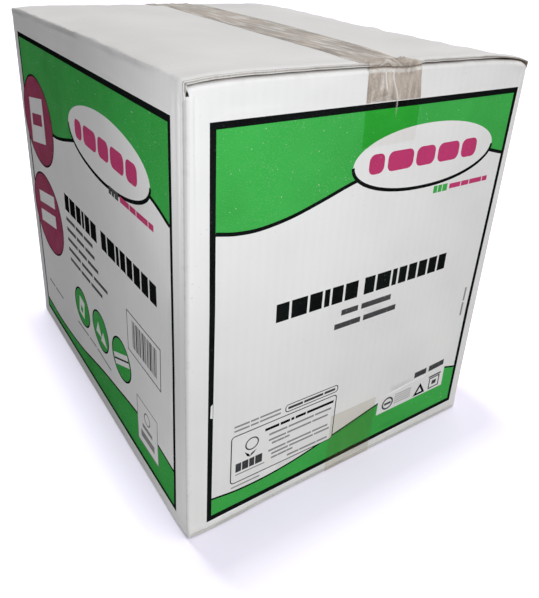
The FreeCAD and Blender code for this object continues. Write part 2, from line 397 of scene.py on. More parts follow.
def curve(knots, steps=6):
    """A smooth line through the knots."""
    k = np.array(knots, float)
    p = np.array([2 * k[0] - k[1], *k, 2 * k[-1] - k[-2]])
    line = []
    for a, b, c, d in zip(p, p[1:], p[2:], p[3:]):
        for t in np.arange(steps) / steps:
            line.append((2 * b + (c - a) * t + (2 * a - 5 * b + 4 * c - d) * t ** 2
                         + (3 * b - a - 3 * c + d) * t ** 3) / 2)
    return [tuple(q) for q in line] + [tuple(p[-2])]


def normals(line):
    """The normals of a line's steps. Where two steps meet, they are added up."""
    step = np.diff(line, axis=0)
    step /= np.linalg.norm(step, axis=1)[:, None]
    normal = np.stack([-step[:, 1], step[:, 0]], axis=1)
    return np.concatenate([normal[:1], normal[1:] + normal[:-1], normal[-1:]])


def sides(line, width):
    """The two sides of a band of even width along a line."""
    out = normals(line)
    share = np.full(len(out), 0.5)
    share[[0, -1]] = 1.0
    out /= (np.maximum((out ** 2).sum(axis=1), 0.5) * share)[:, None]
    return line + out * width / 2, line - out * width / 2


def stroke(ink, line, width):
    """A band along an open line."""
    left, right = sides(np.array(line, float), width)
    return [(ink, np.concatenate([left, right[::-1]]))]


def ring(ink, outline, width):
    """A closed band with a white middle."""
    p = np.array(outline, float)
    a, b = (side[1:-1] for side in sides(np.concatenate([p[-1:], p, p[:1]]), width))
    big, small = (a, b) if abs(area(a)) > abs(area(b)) else (b, a)
    return [(ink, big), ("board", small)]


def area(outline):
    x, y = np.array(outline, float).T
    return (x @ np.roll(y, -1) - y @ np.roll(x, -1)) / 2


def bar(ink, u, v, width, height, tilt=0.0):
    """A block whose lower left corner is at u, v. The tilt is its rise over its run."""
    return [(ink, [(u, v), (u + width, v + width * tilt),
                   (u + width, v + height + width * tilt), (u, v + height)])]


def words(ink, u, v, height, widths, gap=0.0, tilt=0.0):
    """A row of blocks, one for each width."""
    blocks, start = [], u
    for width in widths:
        blocks += bar(ink, u, v + (u - start) * tilt, width, height, tilt)
        u += width + gap
    return blocks


def lines(*rows):
    """Rows of blocks, each as (ink, left end, foot, height, widths, gap, tilt)."""
    return [block for row in rows for block in words(*row)]


def sentences(ink, height, shares, gap, tilt, ends):
    """Rows that are split alike, each at its (u, v, length)."""
    return lines(*((ink, u, v, height, [length * share for share in shares], length * gap, tilt)
                   for u, v, length in ends))


def round_shape(u, v, reach_u, reach_v=None, steps=40):
    reach_v = reach_v or reach_u
    turns = [math.tau * k / steps for k in range(steps)]
    return [(u + reach_u * math.cos(t), v + reach_v * math.sin(t)) for t in turns]


def box(low_u, low_v, high_u, high_v):
    return [(low_u, low_v), (high_u, low_v), (high_u, high_v), (low_u, high_v)]


def round_box(low_u, low_v, high_u, high_v, radius, steps=4):
    """A rectangle with rounded corners."""
    middles = box(low_u + radius, low_v + radius, high_u - radius, high_v - radius)
    return [(u + radius * math.cos(t), v + radius * math.sin(t))
            for quarter, (u, v) in enumerate(middles[2:] + middles[:2])
            for t in (quarter + np.arange(steps + 1) / steps) * QUARTER]


def turned(outline, u, v, angle):
    c, s = math.cos(angle), math.sin(angle)
    return [(u + (a - u) * c - (b - v) * s, v + (a - u) * s + (b - v) * c) for a, b in outline]


def field(line, corners, width):
    """A green field between a smooth line and the frame, with a black line along its free side."""
    return [("green", list(line) + list(corners))] + stroke("black", line, width)


def framed(outer, inner, first_upper, crest, crest_width, hollow, hollow_width):
    """A black frame with a green field above the crest of a wave, and another below a hollow."""
    fields = field(curve(crest), inner[first_upper:first_upper + 2], crest_width)
    fields += field(curve(hollow), inner[1::-1], hollow_width)
    return [("black", outer), ("board", inner)] + fields


def name_label(u, v, reach_u, reach_v, tilt):
    """A plain white label with a row of pink blocks, in the place of a name."""
    oval = round_shape(u, v, reach_u, reach_v, steps=64)
    under = sorted(p for p in oval if p[1] < v + reach_v * 0.05)
    shapes = [("board", oval)] + stroke("black", under, reach_v * 0.11)
    half = reach_v * 0.30
    for start, width in ((-0.80, 0.20), (-0.555, 0.35), (-0.165, 0.27), (0.145, 0.32), (0.505, 0.24)):
        left, right = u + reach_u * start, u + reach_u * (start + width)
        shapes.append(("pink", round_box(left, v - half, right, v + half, reach_v * 0.2)))
    return [(ink, turned(outline, u, v, tilt)) for ink, outline in shapes]


def badge(u, v, reach_u, reach_v):
    return [("black", round_shape(u, v, reach_u, reach_v, 56)),
            ("crimson", round_shape(u, v, reach_u - 1.8, reach_v - 1.6, 56))]


def disc(u, v):
    return [("black", round_shape(u, v, 21.4, 20.6)), ("green", round_shape(u, v, 19.6, 18.9))]


def bar_block():
    """A frame of plain upright bars."""
    shapes = ring("grey", box(278.6, 114.6, 341, 151.4), 1.1)
    u, step = 289.0, 0
    while u < 335:
        width = (0.9, 1.8, 0.9, 2.6, 1.2)[step % 5]
        shapes += bar("grey", u, 121.6, width, 25.6)
        u += width + (1.1, 0.8, 1.7, 1.0)[step % 4]
        step += 1
    return shapes


FRONT_PRINT = [
    *framed(
        [(16.9, 9.2), (289.8, 12.8), (290.6, 120), (291.1, 210), (292.9, 324.8), (16.8, 324.0),
         (17.7, 200)],
        [(21.1, 13.6), (286.0, 17.0), (286.9, 120), (287.4, 210), (289.3, 320.4), (21.1, 319.5),
         (21.9, 200)],
        4, [(21.5, 253.6), (36, 250.9), (54, 250.5), (78, 254.5), (104, 262.4), (122, 268.4), (138, 272.6),
            (190, 284), (240, 283), (288.6, 271.4)], 2.8,
        [(21.2, 30.8), (42, 28.3), (66, 28.1), (96, 31.3), (128, 38), (160, 45.8),
         (187, 52.4), (225, 58.8), (262, 60.5), (286.3, 55.2)], 1.9),
    ("board", [(19.2, 110.5), (21.2, 109.5), (21.2, 122.5), (19.6, 121)]),
    *name_label(200, 281, 73, 25, 0.0),
    *lines(
        ("green", 212.5, 248, 6, (4.3, 4.3, 5.4), 0.8), ("pink", 230.5, 249, 4.2, (13, 9, 15, 6), 0.9),
        ("black", 70.3, 174.2, 15, (11, 14, 11.5, 5, 10.5, 12.5), 2.1),
        ("black", 151.8, 174.4, 15, (10.5, 14.5, 5, 8.5, 9.2, 9.6, 9.6, 9.4), 2.1),
        ("grey", 131.2, 161.6, 5, (16.6,)), ("grey", 151.2, 161.6, 5, (31.2,)),
        ("grey", 125.6, 150, 5, (26, 35), 3), ("grey", 229.6, 63.4, 6.2, (15.6, 21), 3.6),
        ("faint", 279.8, 114.5, 14, (2.2,)), ("faint", 279.8, 130.5, 14, (2.2,))),
    # an outlined box of fine print beside plain shapes
    *ring("black", round_box(37.3, 37, 136.4, 84, 3), 0.9),
    *ring("grey", round_shape(55.5, 70.5, 5.6, steps=24), 1.2),
    ("black", [(49, 64.6), (53.4, 60.6), (54, 57.8), (51.4, 59.4)]),
    ("black", [(60, 63), (55, 60.8), (54, 58), (57.4, 60)]),
    *lines(
        ("grey", 41.4, 47.4, 8.6, (5, 5.6, 4.6, 6.4), 0.8), ("faint", 41.4, 44.2, 1.1, (26.4,)),
        ("black", 67, 76.6, 2.6, (13, 9, 3, 10, 27), 1.2)),
    *sentences("faint", 1.9, (0.28, 0.41, 0.27), 0.02, 0.0, (
        (71, 70.6, 61), (71, 64.8, 58), (74, 60.8, 17), (71, 54, 59), (74, 49.8, 58), (74, 45.6, 21),
        (90, 40.2, 41))),
    *bar("faint", 38, 32.2, 26, 1.3),
    *ring("black", round_box(85.2, 87.2, 136.6, 93.9, 2.6), 0.8),
    *lines(
        ("grey", 87.6, 89.3, 2.4, (14, 19, 11), 1.2), ("faint", 39.4, 88.0, 1.7, (13, 7, 19), 1.1),
        ("faint", 39.4, 92.0, 1.7, (13, 7, 19), 1.1)),
    # plain marks on the white notch in the lower green field
    ("board", [(187, 38.8), (272.4, 38.6), (272.4, 64), (187, 58)]),
    *ring("grey", round_shape(199.3, 47.6, 6, steps=24), 1.8),
    *bar("grey", 195.4, 46.2, 8, 2.6),
    *lines(*(("faint", 207.6, 43.6 + k * 2.4, 0.9, (20.5,)) for k in range(5))),
    *ring("black", [(234.6, 42), (246, 42), (240.3, 51.6)], 2.4),
    *ring("grey", box(253.4, 41.6, 266.6, 53), 1.4),
    *bar("grey", 251.4, 54.4, 17, 1.8),
    *bar("grey", 257, 45, 6, 4.6),
]
SIDE_PRINT = [
    *framed(
        [(18.6, 13.8), (362.5, 13.4), (364.2, 150), (364.5, 326.0), (16.8, 325.2)],
        [(22.4, 17.6), (359.0, 17.2), (360.7, 150), (360.8, 321.4), (20.8, 320.8)],
        3, [(20.9, 247), (70, 245.4), (116, 246.9), (142, 250.7), (182, 260.4), (230, 270),
            (290, 271.6), (331, 265.2), (360.7, 255.6)], 3.0,
        [(22.4, 28), (70, 26.6), (110, 28.4), (142, 32), (182, 39.2), (230, 49),
         (272, 55.7), (310, 58), (359.3, 52.6)], 2.2),
    *name_label(250, 272, 83, 27, -0.01),
    *lines(
        ("grey", 255.6, 240.6, 6.4, (5, 5, 7), 1), ("pink", 278, 241.4, 4.8, (17, 11, 19, 8), 1),
        ("black", 131.5, 180.4, 16.6, (12.6, 15.6, 13, 6, 12, 14.6), 2.6, 0.02),
        ("black", 229.8, 182.6, 16.8, (12, 16, 6, 10.4, 11, 12, 12, 11.6), 2.4, 0.02)),
    *sentences("grey", 3.6, (0.34, 0.28, 0.32), 0.03, 0.03, (
        (132, 169.8, 74), (132, 159.4, 77), (132, 148.8, 84), (132, 138.4, 104), (134, 128, 88))),
    *lines(("faint", 40, 60, 2.4, (20, 27), 3), ("faint", 140, 60.4, 2.2, (30, 18, 38), 3)),
    *badge(62, 246.6, 52, 44.6),
    *badge(64, 149.6, 52, 43.4),
    ("board", [(33, 219), (83, 228.6), (84, 273), (33.6, 264.6)]),
    ("crimson", [(40, 238), (76, 244.4), (76, 256), (40, 250)]),
    *bar("board", 35, 153.6, 58, 13, 0.2),
    *bar("board", 35, 131.6, 56, 13.6, 0.2),
    # three green discs, each with one plain white shape
    *disc(158, 87.4),
    *disc(209.6, 90),
    *disc(260.4, 91.6),
    ("board", turned(box(150, 77, 164, 97), 157, 87, -0.2)),
    ("green", turned(box(154, 81, 160, 88), 157, 87, -0.2)),
    ("board", [(197, 84), (212, 84), (204.6, 98)]),
    ("board", [(209, 80), (225, 80), (217, 93)]),
    ("board", turned(box(243, 86, 278, 97), 260.4, 91.6, 0.42)),
    ("black", turned(box(243, 90.6, 278, 92.2), 260.4, 91.6, 0.42)),
    *bar_block(),
    # a small outlined square, over the edge of the lower green field
    *ring("faint", box(292, 32.6, 331.4, 77.6), 1.1),
    *ring("faint", round_shape(311.6, 65, 5.4, steps=20), 1.4),
    *bar("faint", 302, 51.6, 19, 4),
    *bar("faint", 298.6, 40, 26, 7),
]


# --- meshes ---


class Shell:
    """Points and faces on their way into one mesh."""

    def __init__(self):
        self.points, self.faces, self.inks, self.values = [], [], [], []
        self.count = 0

    def add(self, points, faces, inks, **values):
        """inks: one for all faces, or one for each. The values go with the points, to the materials."""
        self.points.append(points)
        self.faces += [tuple(int(k) + self.count for k in face) for face in faces]
        self.inks += [inks] * len(faces) if isinstance(inks, str) else list(inks)
        self.values.append({key: np.broadcast_to(value, len(points)) for key, value in values.items()})
        self.count += len(points)

    def make(self, name, materials, sharp):
        mesh = bpy.data.meshes.new(name)
        mesh.from_pydata((np.concatenate(self.points) * MM).tolist(), [], self.faces)
        used = [ink for ink in materials if ink in set(self.inks)]
        for ink in used:
            mesh.materials.append(materials[ink])
        mesh.polygons.foreach_set("material_index", [used.index(ink) for ink in self.inks])
        for key in self.values[0]:
            numbers = np.concatenate([values[key] for values in self.values]).astype(np.float32)
            mesh.attributes.new(key, "FLOAT", "POINT").data.foreach_set("value", numbers)
        tidy(mesh)
        mesh.polygons.foreach_set("use_smooth", np.ones(len(mesh.polygons), bool))
        mesh.set_sharp_from_angle(angle=math.radians(sharp))
        piece = bpy.data.objects.new(name, mesh)
        bpy.context.scene.collection.objects.link(piece)
        return piece


def tidy(mesh):
    """Joins points that meet, drops what no face uses, and turns every face outward."""
    bm = bmesh.new()
    bm.from_mesh(mesh)
    bmesh.ops.remove_doubles(bm, verts=bm.verts, dist=0.004 * MM)
    bmesh.ops.delete(bm, geom=[v for v in bm.verts if not v.link_faces], context="VERTS")
    bmesh.ops.recalc_face_normals(bm, faces=bm.faces)
    bm.to_mesh(mesh)
    bm.free()


def grid_cells(rows, columns):
    """The quads of a grid whose points run along its rows."""
    k = np.arange(rows * columns).reshape(rows, columns)
    cells = np.stack([k[:-1, :-1], k[:-1, 1:], k[1:, 1:], k[1:, :-1]], axis=-1)
    return cells.reshape(-1, 4)


def add_faces_of(shell, panel):
    """Both faces of one panel and its flaps, but for the outer face where it is printed."""
    us, vs = panel.us, panel.vs
    u, v = (a.ravel() for a in np.meshgrid(us, vs))
    cells = grid_cells(len(vs), len(us))
    cell_u, cell_v = u[cells].mean(axis=1), v[cells].mean(axis=1)
    there = panel.has(cell_u, cell_v)
    plain = cells[there & ~panel.printed(cell_u, cell_v)]
    wear = panel.wear(u, v)
    shell.add(panel.place(u, v), plain, "board", flute=u, wear=wear, shade=panel.shade(u, v))
    inner = ["cut" if panel.outer and low < SLOT_BASE else "kraft" for low in cell_v[there]]
    shell.add(panel.place(u, v, BOARD), cells[there][:, ::-1], inner, flute=u, wear=wear, shade=0.0)


def taped(panel):
    """Where the top tape comes down over a panel: ink looks deeper under its film."""
    low, high = (np.array(corner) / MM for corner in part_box("top_tape"))
    if panel.outer:
        return []
    if panel.name == "front":
        left, right, end = low[0] - LEFT, high[0] - LEFT, low[2] + UNEVEN
    else:
        slid = tape_slide(0.5, DEPTH)
        left, right, end = RIGHT - high[0] - slid, RIGHT - low[0] - slid, low[2]
    return [("board", box(left, end, right, TAPE_MEETS))]


def add_print(shell, panel):
    """The printed part of a panel's outer face: each triangle takes the last ink laid over it."""
    (u0, u1), (v0, v1) = panel.window, (WINDOW_BASE, WINDOW_TOP)
    us = panel.us[(panel.us >= u0 - 1e-6) & (panel.us <= u1 + 1e-6)]
    vs = panel.vs[(panel.vs >= v0 - 1e-6) & (panel.vs <= v1 + 1e-6)]
    rim = [(u, v0) for u in us[:-1]] + [(u1, v) for v in vs[:-1]]
    rim += [(u, v1) for u in us[:0:-1]] + [(u0, v) for v in vs[:0:-1]]
    layers = [("board", rim), *taped(panel), *(SIDE_PRINT if panel.outer else FRONT_PRINT)]
    points, faces = [], []
    for _, outline in layers:
        outline = [tuple(p) for p in outline]
        if area(outline) < 0:
            outline.reverse()
        faces.append(list(range(len(points), len(points) + len(outline))))
        points += outline
    points += [(u, v) for u in us[1:-1] for v in vs[1:-1]]
    points = [Vector(p) for p in points]
    flat, _, triangles, _, _, owners = delaunay_2d_cdt(points, [], faces, 0, 1e-4)
    u, v = np.array([tuple(p) for p in flat]).T
    kept, inks = [], []
    for triangle, owner in zip(triangles, owners):
        if owner:
            ink = layers[max(owner)][0]
            if ink == "green":
                under_tape = 1 in owner and v[list(triangle)].mean() > MIDDLE
                # the side panels' green is a darker copy of the front's green: painted shade
                ink = "side green" if panel.outer else "wet green" if under_tape else ink
            kept.append(triangle)
            inks.append(ink)
    shell.add(panel.place(u, v), kept, inks, flute=u, wear=panel.wear(u, v), shade=0.0)


def along_run(panel, corners):
    """The corners of a cut edge, and every level between them."""
    line = []
    for (u0, v0), (u1, v1) in zip(corners, corners[1:]):
        levels, start, end = (panel.us, u0, u1) if v0 == v1 else (panel.vs, v0, v1)
        low, high = min(start, end), max(start, end)
        between = [level for level in levels if low + 1e-3 < level < high - 1e-3]
        between = between if end > start else between[::-1]
        line += [(u0, v0)] + [(b, v0) if v0 == v1 else (u0, b) for b in between]
    return np.array(line + [corners[-1]], float)


def add_cut_edge(shell, panel, corners):
    """A cut edge: the ends of both liners, and the hollow between them."""
    line = along_run(panel, corners)
    inward = normals(line)
    inward[np.linalg.norm(inward, axis=1) > 1.9] /= 2  # where the edge runs straight on
    for end in (0, -1):  # where two panels' edges meet, both hollows run down the fold
        if line[end][1] in (SLOT_TOP, SLOT_BASE):
            inward[end] = (0, -1) if line[end][1] == SLOT_TOP else (0, 1)
    hollow = line + inward * GROOVE
    far = BOARD - LINER
    steps = ((line, 0), (line, LINER), (hollow, LINER), (hollow, far), (line, far), (line, BOARD))
    uv = np.concatenate([points for points, _ in steps])
    depth = np.repeat([d for _, d in steps], len(line))
    cells = grid_cells(len(steps), len(line))
    middles = (line[:-1, 1] + line[1:, 1]) / 2
    inks = ["cut" if k in (0, 4) or v < SLOT_BASE else "hollow" for k in range(5) for v in middles]
    u, v = uv.T
    shell.add(panel.place(u, v, depth), cells, inks, flute=u, wear=1.0, shade=0.0)


def make_carton(materials):
    shell = Shell()
    for panel in PANELS.values():
        add_faces_of(shell, panel)
        add_print(shell, panel)
        for corners in panel.edge_runs():
            add_cut_edge(shell, panel, corners)
    return shell.make("carton_board", materials, sharp=30)


# --- the tapes ---


TAPE_POINTS = 80  # across a tape
FILM = 0.22  # a tape's thickness
GLUE = 0.06  # how far the film stands off the board
LEAST_HEIGHT = 0.02  # of the tape over the floor
UNEVEN = 4.0  # between the heights of a tape's two ends
TOP_TURN, BASE_TURN = 343.5, 5.0  # where a tape leaves the front and the back for the flaps
TAPE_MEETS = 325.0  # the print's upper edge: the tape sticks to ink below, and is milky on paper above
TUCK = (  # share of the way up from the front's fold to the flaps' upper face, and how far inward
    (0.1, 0.0), (0.2, 0.05), (0.3, 0.15), (0.38, 0.3), (0.45, 0.9), (0.52, 1.1), (0.585, -0.15),
    (0.65, -0.2), (0.72, -0.2), (0.79, -0.2), (0.86, -0.2), (0.93, -0.2),
)
PILLOWS = (  # where the film is bunched up: across, behind the front edge, reaches, height
    (165, 4, 9, 9, 2.3), (151, 4, 9, 9, 1.3), (139, 3, 7, 7, 0.6),
)
# each fold has painted shade along it and a painted highlight on its pale side
FOLDS = (  # sharp folds over the turn: the pale side, and places across with heights over the gap
    (1, ((141, -0.4), (144.6, 0.8), (147.2, 1.9), (149.5, 1.2), (152, 0.0), (156, -0.8))),
    (-1, ((144, 3.3), (145.5, 4.3), (147, 4.6), (149, 4.1), (152, 3.5), (155, 2.6))),
    (-1, ((152, 5.2), (154.5, 4.3), (157, 3.1), (160, 1.9), (163, 0.9))),
    (1, ((129, 0.6), (134, 0.8), (141, 1.1))),
)


def over_flaps(x, y, height, top):
    """Points at that height over the closed outer flaps, above or below the carton."""
    points = np.zeros((*np.shape(x), 3))
    for panel in (PANELS["left"], PANELS["right"]):
        left = panel.name == "left"
        radius = panel.radius if top else BASE_FOLD
        reach = np.minimum(x - LEFT if left else RIGHT - x, (WIDTH - SEAM) / 2)
        reach = reach - radius + radius * QUARTER
        v = panel.fold_top + reach if top else panel.fold_base - reach
        placed = panel.place(BACK - y if left else y - FRONT, v, -height)
        placed[..., 0] = x
        here = (x < 0) == left
        points[here] = placed[here]
    return points


def tape_slide(share, run):
    """How far the top tape lies off a straight course: slanted over the top, and gathered in front."""
    front = lerp(-0.7, -2.3, share) * rise(-20, 0, run)
    over = 0.042 * run - 8.2 - 7.5 * share ** 2 * unit(1 - run / 160)
    return lerp(front, over, rise(lerp(-1, -8, share), lerp(3, 14, share), run) * (run > -0.5))


def tape_rows(x, share, slide, height, top, ends):
    """Rows up the front, over the flaps and down the back, and how far past the front each of them is."""
    turn, way = (TOP_TURN, -1) if top else (BASE_TURN, 1)
    down = [*np.linspace(0, 24, 24), *np.linspace(27, abs(ends[0] - turn), 12)]
    over = [*np.arange(0, 26, 0.9), *np.linspace(28, DEPTH - 20, 60)]
    over += [DEPTH - before for before in (12, 6, 2.5, 0)]
    run = [-s - 1 for s in down[::-1]] + over
    rows = [PANELS["front"].place(x + slide(share, -s - 1) - LEFT, turn + way * s, -height)
            for s in down[::-1]]
    rows += [over_flaps(x + slide(share, s), FRONT + s, height, top) for s in over]
    rows[len(down)][:, 1] -= height
    rows[-1][:, 1] += height
    if top:  # tucked into the gap under the flaps' edge
        below, above = rows[len(down) - 1], rows[len(down)]
        for share_up, inward in TUCK[::-1]:
            row = lerp(below, above, share_up) + (0, inward, 0)
            row[:, 0] = lerp(below[:, 0], above[:, 0], rise(0.42, 0.95, share_up))
            rows.insert(len(down), row)
            run.insert(len(down), share_up - 1)
    down_back = np.linspace(0, abs(ends[1] - turn), 16)
    run += [DEPTH + s for s in down_back]
    u = RIGHT - x - slide(share, DEPTH)
    rows += [PANELS["back"].place(u, turn + way * s, -height) for s in down_back]
    return np.array(rows), np.array(run)[:, None]


def crumple(rows, across, run):
    """Bunches the strip where it turns over the front. Returns its painted highlights, with some whitening
    of the film, and its painted shade there.
    """
    bridge = 1 + run  # 0 to 1 up the turn
    over = 3 * unit(2 * bridge - 1) + 0.4 * np.maximum(run, 0)  # how far above the gap it looks
    height = sum(high * hill(across, u, reach) * hill(run, s, far) for u, s, reach, far, high in PILLOWS)
    skewed, along = across * 0.6 - run * 0.8, across * 0.8 + run * 0.6
    wrinkle = unit(1 - 6 * np.abs(ripple(skewed / 3.2, along / 11, 7.7))) * hill(run, 4, 20)
    height = height + 0.5 * wrinkle * (1 - 0.8 * rise(170, 177, across))
    # painted highlights on the wrinkles
    pale, dark = 0.35 * wrinkle * rise(0, 3, run), np.zeros_like(across)
    for side, knots in FOLDS:
        u, s = np.array(knots).T
        off = over - np.interp(across, u, s)
        there = rise(u[0] - 2, u[0] + 2, across) * fade(u[-1] - 2, u[-1] + 2, across) * (bridge > 0.5)
        # painted shade along each fold, and a painted highlight beside it on its pale side
        dark = np.maximum(dark, hill(off, 0, 0.7) * there)
        pale = np.maximum(pale, 0.5 * hill(off, side * 1.1, 0.8) * there)
        height = height + 0.4 * hill(off, side * 1.1, 1.2) * there
    rows[..., 2] += height * rise(-0.5, 2, run)
    rows[..., 1] -= 0.5 * height * rise(-0.5, -0.2, run) * fade(0, 4, run)
    # the milky band over the gap is the film's whitening with a painted highlight
    bridged = rise(0.0, 0.12, bridge) * fade(0.34, 0.42, bridge)  # milky over the gap
    pale = np.maximum(pale, bridged * (0.62 + 0.3 * ripple(across / 2.3, bridge * 2, 5.5)))
    # mottled painted shade over the bunched pillows
    mottled = rise(-0.45, 0.25, ripple(across / 2.2, run / 4, 3.3))
    dark = np.maximum(dark, 0.9 * hill(across, 167, 18) * hill(run, 6, 20) * mottled)
    # painted shade where the film is tucked into the gap under the flaps' edge
    tucked = hill(bridge, 0.49, 0.1) * rise(-0.45, 0.1, ripple(across / 3.3, 1.7, 0.4) + 0.25)
    dark = np.maximum(dark * (0.7 + 0.3 * ripple(across / 3, run, 8.8)), tucked)
    return pale * (1 - dark), dark


def strands(across, run):
    """Paler strands along the tape, from its own streaks, and a painted highlight over the seam between the
    flaps.
    """
    seam = WIDTH / 2 - 13 * fade(5, 60, run)
    ridge = hill(across, seam, 3.5) * fade(80, 170, run) * (0.6 + 0.8 * ripple(across / 2, run / 14, 4.4))
    loose = ripple(across / 3.4, run / 34, 9.1) + 0.35 * ripple(across / 20, run / 9, 2.2)
    return unit(0.65 * ridge + 0.65 * rise(0.05, 0.4, loose)) * rise(4, 16, run) * (run < DEPTH)


def dulled(across, run, share):
    """Where the tape lies flat along its two sides, and shows more of its tan."""
    sides = rise(0.16, 0.5, np.abs(share - 0.5)) * rise(-0.15, 0.4, ripple(across / 6, run / 26, 6.6))
    return 0.7 * sides * rise(8, 24, run) * (run < DEPTH)


def film_creases(rows, across, run):
    """Two long creases down the front, where the film stands off the board and shows white: its own
    whitening and a painted highlight.
    """
    below = -1 - run
    there = below >= 0
    long = hill(across, 160.8 - 6.4 * rise(26, 0, below) ** 2, 1.0) * there * rise(32, 20, below)
    short = hill(across, 150.9 + 0.30 * np.minimum(below - 12, 0), 1.1) * there * rise(13, 10, below)
    rows[..., 1] -= 0.7 * (long + short)
    return unit(long + short)


def make_tape(node, materials, ink, name, slide):
    """A strip of film with an outer and an under face, over one of the two seams."""
    low, high = (np.array(corner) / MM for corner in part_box(node))
    top = node == "top_tape"
    x = np.linspace(low[0], high[0], TAPE_POINTS)
    share = (x - x[0]) / (x[-1] - x[0])
    ends = (low[2] + UNEVEN, low[2]) if top else (high[2], high[2] - UNEVEN)
    layers = []
    for height in (GLUE + FILM, GLUE):
        rows, run = tape_rows(x, share, slide, height, top, ends)
        crease, edge = np.zeros((2, *rows.shape[:2]))
        # painted shadow along the strip's two edges
        edge[:, [0, -1]] = 0.4 * (run > 0) * (run < DEPTH)
        if top:
            across = rows[..., 0] - LEFT
            crest, painted_fold_shade = crumple(rows, across, run)
            # The pale values are painted highlights, with the film's own whitening and strands; the dark
            # values are painted shade, with the darker tan of its flat sides.
            crease = np.maximum.reduce([film_creases(rows, across, run), crest, strands(across, run)])
            edge = np.maximum.reduce([edge, painted_fold_shade, dulled(across, run, share)])
        layers.append(rows)
    count = crease.size
    k = np.arange(count).reshape(crease.shape)
    loop = np.concatenate([k[0], k[1:, -1], k[-1, -2::-1], k[-2:0:-1, 0]])
    rim = [(a, b, b + count, a + count) for a, b in zip(loop, np.roll(loop, -1))]
    cells = grid_cells(*crease.shape)
    points = np.concatenate([layer.reshape(-1, 3) for layer in layers])
    points[:, 2] = np.maximum(points[:, 2], LEAST_HEIGHT)
    stuck = 1.0 * ((rows[..., 2] < TAPE_MEETS) | (not top))
    crease, stuck, edge = (np.tile(values.ravel(), 2) for values in (crease, stuck, edge))
    faces = [*cells, *(cells[:, ::-1] + count), *rim]
    shell = Shell()
    shell.add(points, faces, ink, crease=crease, stuck=stuck, edge=edge)
    return shell.make(name, materials, sharp=40)


# --- materials ---


class Tree:
    """The nodes of a material or a world, which starts with one shader and its output."""

    def __init__(self, name, kind="materials"):
        owner = getattr(bpy.data, kind).new(name)
        owner.use_nodes = True
        self.owner, self.nodes, self.links = owner, owner.node_tree.nodes, owner.node_tree.links
        self.shader = next(node for node in self.nodes if node.outputs)
        self.output = next(node for node in self.nodes if not node.outputs)
        self.place = self.nodes.new("ShaderNodeTexCoord").outputs

    def fill(self, node, values):
        """Fills a node's inputs: a socket is linked, anything else is its value."""
        for key, value in values.items():
            socket = node.inputs[key]
            if isinstance(value, bpy.types.NodeSocket):
                self.links.new(value, socket)
            else:
                socket.default_value = (*value, 1.0) if socket.type == "RGBA" else value

    def add(self, kind, values, output=0, **settings):
        """Adds a node, and returns one of its outputs."""
        node = self.nodes.new("ShaderNode" + kind)
        for key, value in settings.items():
            setattr(node, key, value)
        self.fill(node, values)
        return node.outputs[output]

    def noise(self, scale, detail, stretch=(1, 1, 1)):
        mapped = self.add("Mapping", {"Vector": self.place["Object"], "Scale": stretch})
        return self.add("TexNoise", {"Vector": mapped, "Scale": scale, "Detail": detail}, "Fac")

    def ranged(self, value, low, high, to_low=0.0, to_high=1.0):
        values = {"Value": value, "From Min": low, "From Max": high, "To Min": to_low, "To Max": to_high}
        return self.add("MapRange", values)

    def math(self, operation, first, *others):
        """Takes the first value together with each of the others in turn."""
        for other in others or (0.0,):
            first = self.add("Math", {0: first, 1: other}, operation=operation)
        return first

    def times(self, *values):
        return self.math("MULTIPLY", *values)

    def total(self, *values):
        return self.math("ADD", *values)

    def most(self, *values):
        return self.math("MAXIMUM", *values)

    def mix(self, share, a, b):
        return self.add("Mix", {"Factor": share, "A": a, "B": b}, "Result", data_type="RGBA")

    def given(self, name):
        return self.add("Attribute", {}, "Fac", attribute_name=name)

    def bump(self, height, strength, distance):
        return self.add("Bump", {"Height": height, "Strength": strength, "Distance": distance})

    def surface(self, base, roughness, specular, normal):
        values = {"Base Color": base, "Roughness": roughness, "Normal": normal}
        self.fill(self.shader, {**values, "Specular IOR Level": specular})
        return self.owner

    def show(self, share, a, b):
        """Shows a mix of two shaders."""
        self.fill(self.output, {"Surface": self.add("MixShader", {0: share, 1: a, 2: b})})
        return self.owner


FLUTE_GREY, RUBBED, FLECK = (0.42, 0.42, 0.43), (0.33, 0.28, 0.22), (0.5, 0.48, 0.45)
PINHOLE, FINE_PINHOLE = (0.72, 0.72, 0.70), (0.55, 0.56, 0.54)
# The tape's dark colour is painted shade, with the darker tan of its flat sides; its white is painted
# highlight, with the film's own whitening.
MILK, TAPE_SHADE_AND_TAN, TAPE_WHITENING_AND_HIGHLIGHT = (0.93, 0.91, 0.88), (0.16, 0.13, 0.10), (0.97, 0.96, 0.94)
BLACK, WHITE = (0.0, 0.0, 0.0), (1.0, 1.0, 1.0)


def flute_wave(tree):
    """The board's flutes, as they just show through its outer paper."""
    return tree.times(tree.math("SINE", tree.times(tree.given("flute"), math.tau / FLUTE)), 0.25)


def board_bump(tree, paper=0.3):
    cloudy, rough = tree.times(tree.noise(90, 4), 1.6), tree.times(tree.noise(1400, 2), paper)
    return tree.bump(tree.total(flute_wave(tree), cloudy, rough), 0.14, 0.00022)


def roughness(tree, scale, low, high):
    return tree.ranged(tree.noise(scale, 3), 0.3, 0.7, low, high)


